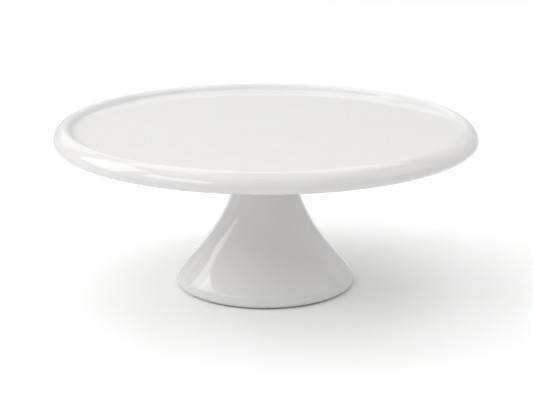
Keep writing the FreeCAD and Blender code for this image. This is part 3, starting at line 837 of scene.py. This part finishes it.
def moulded(name, colour, worn, roughness):
    """Moulded plastic: a fine eroded grain, a slow drift of colour and patches rubbed smoother by fingers."""
    finish = Finish(name)
    rub = finish.noise(7 * MM, detail=3.0)
    grain = finish.noise(0.22 * MM, detail=2.0, roughness=0.6)
    finish.look(Base_Color=finish.blend(finish.mask(rub, 0.40, 0.75, 0.0, 0.8), colour, worn), IOR=1.49,
                Roughness=finish.mask(rub, 0.35, 0.70, roughness, roughness - 0.14),
                Normal=finish.bump(finish.noise(5 * MM), 0.02 * MM, finish.bump(grain, 0.008 * MM)))
    return finish


silicone = rubbery("milky_silicone", SILICONE, SILICONE_DUST, 0.42)
for piece in (gasket, cushion):
    coat(piece, silicone)
clear = rubbery("clear_bumper_silicone", CLEAR, CLEAR_DUST, 0.22)
clear.look(Transmission_Weight=0.55)
coat(pads, clear)
coat(knob, moulded("knob_moulding", KNOB_WHITE, KNOB_GREY, 0.46))
coat(cap, moulded("cap_moulding", CAP_GREY, CAP_DARK, 0.52))
print("silicones and plastics mixed")

# %% [markdown]
# ## The table, the camera and the light
# The stand is white on white, so it is the light that draws it. One large window-like softbox with a bar
# down its middle stands on the left. Its two panes run as bright strips over the flare and along the rim. A
# wide softbox overhead lights the plate, weaker panels fill the right side, and the sky is an even dim
# white. The table is white in a long oval that reaches far behind the stand, and light grey beyond, so that
# it throws less light up at the front of the rim than an endless white table would.

# %% Lay the table
TABLE_REACH, WHITE_SIDE, WHITE_DEPTH, WHITE_CENTRE = 6.0, 1.0, 1.5, 1.1
TABLE_WHITE, TABLE_SHADE = (0.97, 0.97, 0.97, 1), (0.955, 0.955, 0.95, 1)
TABLE_GREY, FADE_START, FADE_STOP = (0.60, 0.60, 0.595, 1), 0.90, 1.08
corner = np.array([(-1, -1), (1, -1), (1, 1), (-1, 1)]) * TABLE_REACH
table = put_mesh("table", np.c_[corner, np.zeros(4)], np.array([[0, 1, 2, 3]]))
sheet = Finish("pale_table")
fibre = sheet.noise(60 * MM, detail=6.0)
white = sheet.blend(sheet.mask(fibre, 0.35, 0.65), TABLE_WHITE, TABLE_SHADE)
oval = sheet.add("ShaderNodeVectorMath", {"operation": "MULTIPLY_ADD"}, i0=sheet.place,
                 i1=(1 / WHITE_SIDE, 1 / WHITE_DEPTH, 0), i2=(0, -WHITE_CENTRE / WHITE_DEPTH, 0))
away = sheet.add("ShaderNodeVectorMath", {"operation": "LENGTH"}, i0=oval.outputs["Vector"])
beyond = sheet.mask(away.outputs["Value"], FADE_START, FADE_STOP)
sheet.look(Base_Color=sheet.blend(beyond, white, TABLE_GREY), Roughness=0.85,
           Normal=sheet.bump(sheet.noise(1.2 * MM, detail=3.0), 0.01 * MM))
coat(table, sheet)

# %% Stand the camera
VIEW_RISE, VIEW_DISTANCE, AIM_HEIGHT, AIM_ASIDE = math.radians(15.68), 0.9798, 0.0603, 0.8 * MM
SENSOR_WIDTH, FOCAL_LENGTH = 36.0, 92.33  # both in millimetres, as a lens is marked
lens = bpy.data.cameras.new("camera")
lens.sensor_width, lens.lens = SENSOR_WIDTH, FOCAL_LENGTH
camera = bpy.data.objects.new("camera", lens)
bpy.context.scene.collection.objects.link(camera)
camera.location = (AIM_ASIDE, -VIEW_DISTANCE * math.cos(VIEW_RISE),
                   AIM_HEIGHT + VIEW_DISTANCE * math.sin(VIEW_RISE))
camera.rotation_euler = (math.pi / 2 - VIEW_RISE, 0, 0)
bpy.context.scene.camera = camera
bpy.context.scene.view_settings.view_transform = "Standard"
print(f"camera {VIEW_DISTANCE} m away, {math.degrees(VIEW_RISE):.1f} degrees up")

# %% Place the lights
AIM = Vector((0, 0, AIM_HEIGHT))
# name: (turn from straight behind the stand, rise, distance, width, height, radiance)
LIGHTS = {
    "window_rear_pane": (-71.0, 35.0, 2.2, 0.56, 1.05, 2.21),
    "window_near_pane": (-87.5, 35.0, 2.2, 0.64, 1.05, 2.83),
    "left_front_panel": (-130.0, 37.0, 2.4, 1.45, 0.60, 3.33),
    "left_low_panel": (-75.0, 8.0, 2.4, 1.8, 0.55, 0.29),
    "left_rear_panel": (-32.0, 25.0, 2.4, 1.2, 1.0, 0.40),
    "overhead_left_rear": (-45.0, 65.0, 2.2, 1.3, 1.1, 1.49),
    "overhead_left_near": (-135.0, 65.0, 2.2, 1.3, 1.1, 0.72),
    "overhead_right_rear": (45.0, 65.0, 2.2, 1.3, 1.1, 1.37),
    "overhead_right_near": (135.0, 65.0, 2.2, 1.3, 1.1, 0.65),
    "behind": (0.0, 35.0, 2.6, 1.6, 1.2, 0.37),
    "right_rear_panel": (45.0, 28.0, 2.4, 1.2, 1.0, 0.27),
    "right_side_panel": (95.0, 35.0, 2.4, 1.4, 1.0, 0.54),
    "right_low_panel": (75.0, 12.0, 2.4, 1.8, 0.7, 0.06),
    "front_panel": (180.0, 40.0, 2.4, 1.6, 0.9, 0.25),
}
SKY = 0.655


def softbox(name, turn, rise, distance, width, height, radiance):
    """A flat light that faces the stand. An area light's watts are its radiance x area x pi."""
    turn, rise = math.radians(turn), math.radians(rise)
    panel = bpy.data.lights.new(name, "AREA")
    panel.shape, panel.size, panel.size_y = "RECTANGLE", width, height
    panel.energy = radiance * width * height * math.pi
    light = bpy.data.objects.new(name, panel)
    bpy.context.scene.collection.objects.link(light)
    away = Vector((math.sin(turn) * math.cos(rise), math.cos(turn) * math.cos(rise), math.sin(rise)))
    light.location = AIM + away * distance
    light.rotation_euler = away.to_track_quat("Z", "Y").to_euler()
    return light


for name, values in LIGHTS.items():
    softbox(name, *values)
sky = bpy.data.worlds.new("even_sky")
sky.use_nodes = True
sky.node_tree.nodes["Background"].inputs["Strength"].default_value = SKY
sky.node_tree.nodes["Background"].inputs["Color"].default_value = (1, 1, 1, 1)
bpy.context.scene.world = sky
print(f"{len(LIGHTS)} lights")
